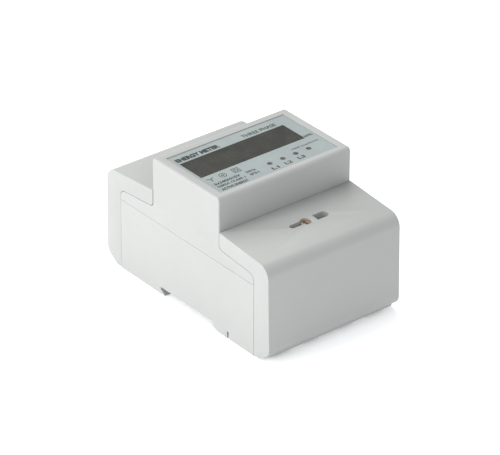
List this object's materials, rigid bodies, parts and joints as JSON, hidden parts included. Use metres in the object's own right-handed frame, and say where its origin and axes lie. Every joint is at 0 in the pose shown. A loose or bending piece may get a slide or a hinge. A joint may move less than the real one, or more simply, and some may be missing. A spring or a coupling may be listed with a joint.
{
  "type": "electricity meter",
  "caption": "Grey plastic energy meter that clips to a mounting rail, lying on its back, with a display window, indicator lights and lift-off covers over its cable terminals.",
  "frame": {"origin": "middle of the underside, with the meter lying on its back", "axes": "+X along the lettering, +Y towards the supply end and the fixed rail hook, +Z out of the display"},
  "size_m": [0.07, 0.1104, 0.064],
  "materials": {
    "casing": "fine moulded grain",
    "cover": "fine moulded grain",
    "seal_brass": "dulled",
    "plated_steel": "zinc plated",
    "latch_plastic": "fine moulded grain",
    "spring_steel": "drawn wire",
    "copper": "rolled copper",
    "transformer": "potted core",
    "clamp_steel": "zinc plated",
    "tinned_pins": "tinned",
    "pulse_plastic": "moulded",
    "label": "printed film",
    "clear_window": "clear plastic",
    "display_glass": "display glass with its polariser",
    "contact_rubber": "striped contact rubber",
    "white_plastic": "moulded",
    "light_lens": "tinted lens",
    "circuit_board": "solder resist",
    "chip_black": "moulded epoxy",
    "capacitor_sleeve": "shrink sleeve",
    "film_yellow": "epoxy filled box",
    "varistor_blue": "dipped epoxy"
  },
  "bodies": {
    "housing": {"backlight_panel": "white_plastic", "board_connector": "chip_black", "case_screws": "plated_steel", "contact_strips": "contact_rubber", "copper_bar_l1": "copper", "copper_bar_l2": "copper", "copper_bar_l3": "copper", "copper_bar_n": "copper", "current_transformer_l1": "transformer", "current_transformer_l2": "transformer", "current_transformer_l3": "transformer", "display_board": "circuit_board", "display_board_screws": "plated_steel", "display_glass": "display_glass", "display_holder": "white_plastic", "display_window": "clear_window", "film_capacitors": "film_yellow", "label_plate": "label", "latch_spring": "spring_steel", "lower_housing": "casing", "measuring_board": "circuit_board", "measuring_board_screws": "plated_steel", "metering_chip": "chip_black", "microcontroller": "chip_black", "optocoupler": "chip_black", "phase_light_1": "light_lens", "phase_light_2": "light_lens", "phase_light_3": "light_lens", "pulse_light": "light_lens", "pulse_terminal_block": "pulse_plastic", "smoothing_capacitor": "capacitor_sleeve", "upper_housing": "casing", "varistors": "varistor_blue", "voltage_pins": "tinned_pins"},
    "front_cover": {"front_terminal_cover": "cover"},
    "front_seal": {"front_seal_screw": "seal_brass"},
    "front_l1_screw": {"terminal_screw_front_l1": "clamp_steel"},
    "front_l1_cage": {"terminal_cage_front_l1": "clamp_steel"},
    "front_l2_screw": {"terminal_screw_front_l2": "clamp_steel"},
    "front_l2_cage": {"terminal_cage_front_l2": "clamp_steel"},
    "front_l3_screw": {"terminal_screw_front_l3": "clamp_steel"},
    "front_l3_cage": {"terminal_cage_front_l3": "clamp_steel"},
    "front_n_screw": {"terminal_screw_front_n": "clamp_steel"},
    "front_n_cage": {"terminal_cage_front_n": "clamp_steel"},
    "rear_cover": {"rear_terminal_cover": "cover"},
    "rear_seal": {"rear_seal_screw": "seal_brass"},
    "rear_l1_screw": {"terminal_screw_rear_l1": "clamp_steel"},
    "rear_l1_cage": {"terminal_cage_rear_l1": "clamp_steel"},
    "rear_l2_screw": {"terminal_screw_rear_l2": "clamp_steel"},
    "rear_l2_cage": {"terminal_cage_rear_l2": "clamp_steel"},
    "rear_l3_screw": {"terminal_screw_rear_l3": "clamp_steel"},
    "rear_l3_cage": {"terminal_cage_rear_l3": "clamp_steel"},
    "rear_n_screw": {"terminal_screw_rear_n": "clamp_steel"},
    "rear_n_cage": {"terminal_cage_rear_n": "clamp_steel"},
    "pulse_left_screw": {"pulse_screw_left": "plated_steel"},
    "pulse_right_screw": {"pulse_screw_right": "plated_steel"},
    "latch": {"rail_latch": "latch_plastic"}
  },
  "joints": [
    {"name": "front_cover_lift", "type": "slide", "parent": "housing", "child": "front_cover", "axis": [0, 0, 1], "range_m": [0, 0.05]},
    {"name": "front_seal_turn", "type": "hinge", "parent": "front_cover", "child": "front_seal", "pos_m": [0, -0.0356, 0.043], "axis": [0, 0, 1], "range_deg": [0, 2160]},
    {"name": "front_l1_turn", "type": "hinge", "parent": "housing", "child": "front_l1_screw", "pos_m": [-0.025, -0.0326, 0.0312], "axis": [0, 0, -1], "range_deg": [0, 2700.1]},
    {"name": "front_l1_clamp", "type": "slide", "parent": "housing", "child": "front_l1_cage", "axis": [0, 0, 1], "range_m": [0, 0.0075]},
    {"name": "front_l2_turn", "type": "hinge", "parent": "housing", "child": "front_l2_screw", "pos_m": [-0.009, -0.0326, 0.0312], "axis": [0, 0, -1], "range_deg": [0, 2700.1]},
    {"name": "front_l2_clamp", "type": "slide", "parent": "housing", "child": "front_l2_cage", "axis": [0, 0, 1], "range_m": [0, 0.0075]},
    {"name": "front_l3_turn", "type": "hinge", "parent": "housing", "child": "front_l3_screw", "pos_m": [0.009, -0.0326, 0.0312], "axis": [0, 0, -1], "range_deg": [0, 2700.1]},
    {"name": "front_l3_clamp", "type": "slide", "parent": "housing", "child": "front_l3_cage", "axis": [0, 0, 1], "range_m": [0, 0.0075]},
    {"name": "front_n_turn", "type": "hinge", "parent": "housing", "child": "front_n_screw", "pos_m": [0.025, -0.0326, 0.0312], "axis": [0, 0, -1], "range_deg": [0, 2700.1]},
    {"name": "front_n_clamp", "type": "slide", "parent": "housing", "child": "front_n_cage", "axis": [0, 0, 1], "range_m": [0, 0.0075]},
    {"name": "rear_cover_lift", "type": "slide", "parent": "housing", "child": "rear_cover", "axis": [0, 0, 1], "range_m": [0, 0.05]},
    {"name": "rear_seal_turn", "type": "hinge", "parent": "rear_cover", "child": "rear_seal", "pos_m": [0, 0.0356, 0.043], "axis": [0, 0, 1], "range_deg": [0, 2160]},
    {"name": "rear_l1_turn", "type": "hinge", "parent": "housing", "child": "rear_l1_screw", "pos_m": [-0.025, 0.0326, 0.0312], "axis": [0, 0, -1], "range_deg": [0, 2700.1]},
    {"name": "rear_l1_clamp", "type": "slide", "parent": "housing", "child": "rear_l1_cage", "axis": [0, 0, 1], "range_m": [0, 0.0075]},
    {"name": "rear_l2_turn", "type": "hinge", "parent": "housing", "child": "rear_l2_screw", "pos_m": [-0.009, 0.0326, 0.0312], "axis": [0, 0, -1], "range_deg": [0, 2700.1]},
    {"name": "rear_l2_clamp", "type": "slide", "parent": "housing", "child": "rear_l2_cage", "axis": [0, 0, 1], "range_m": [0, 0.0075]},
    {"name": "rear_l3_turn", "type": "hinge", "parent": "housing", "child": "rear_l3_screw", "pos_m": [0.009, 0.0326, 0.0312], "axis": [0, 0, -1], "range_deg": [0, 2700.1]},
    {"name": "rear_l3_clamp", "type": "slide", "parent": "housing", "child": "rear_l3_cage", "axis": [0, 0, 1], "range_m": [0, 0.0075]},
    {"name": "rear_n_turn", "type": "hinge", "parent": "housing", "child": "rear_n_screw", "pos_m": [0.025, 0.0326, 0.0312], "axis": [0, 0, -1], "range_deg": [0, 2700.1]},
    {"name": "rear_n_clamp", "type": "slide", "parent": "housing", "child": "rear_n_cage", "axis": [0, 0, 1], "range_m": [0, 0.0075]},
    {"name": "pulse_left_turn", "type": "hinge", "parent": "housing", "child": "pulse_left_screw", "pos_m": [-0.0028, 0.04253, 0.0331], "axis": [0, 0, -1], "range_deg": [0, 1440]},
    {"name": "pulse_right_turn", "type": "hinge", "parent": "housing", "child": "pulse_right_screw", "pos_m": [0.0028, 0.04253, 0.0331], "axis": [0, 0, -1], "range_deg": [0, 1440]},
    {"name": "latch_pull", "type": "slide", "parent": "housing", "child": "latch", "axis": [0, -1, 0], "range_m": [0, 0.003], "stiffness_N_per_m": 1500, "springref_m": -0.002, "deforming": ["latch_spring"]}
  ],
  "couplings": [
    {"joint": "front_l1_turn", "follows": "front_l1_clamp", "rad_per_m": 6283.2},
    {"joint": "front_l2_turn", "follows": "front_l2_clamp", "rad_per_m": 6283.2},
    {"joint": "front_l3_turn", "follows": "front_l3_clamp", "rad_per_m": 6283.2},
    {"joint": "front_n_turn", "follows": "front_n_clamp", "rad_per_m": 6283.2},
    {"joint": "rear_l1_turn", "follows": "rear_l1_clamp", "rad_per_m": 6283.2},
    {"joint": "rear_l2_turn", "follows": "rear_l2_clamp", "rad_per_m": 6283.2},
    {"joint": "rear_l3_turn", "follows": "rear_l3_clamp", "rad_per_m": 6283.2},
    {"joint": "rear_n_turn", "follows": "rear_n_clamp", "rad_per_m": 6283.2}
  ]
}
